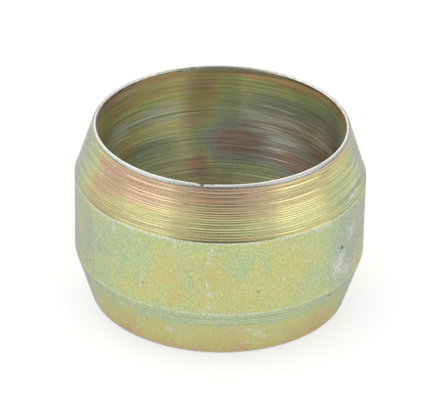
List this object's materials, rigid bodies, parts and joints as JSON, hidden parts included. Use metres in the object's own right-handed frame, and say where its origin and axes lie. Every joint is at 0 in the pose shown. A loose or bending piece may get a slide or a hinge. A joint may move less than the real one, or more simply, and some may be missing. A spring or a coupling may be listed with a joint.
{
  "type": "compression olive",
  "caption": "Turned steel ring with a plain bore, a straight middle band and tapered ends; a compression nut squeezes it onto a tube to seal the joint.",
  "frame": {"origin": "centre of the lower rim, on the surface that the olive stands on", "axes": "+Z along the tube's axis, upwards through the bore"},
  "size_m": [0.0178, 0.0178, 0.0115],
  "materials": {
    "olive": "turned steel, zinc plated with yellow passivation, satin"
  },
  "bodies": {
    "root": {"olive": "olive"}
  },
  "joints": []
}
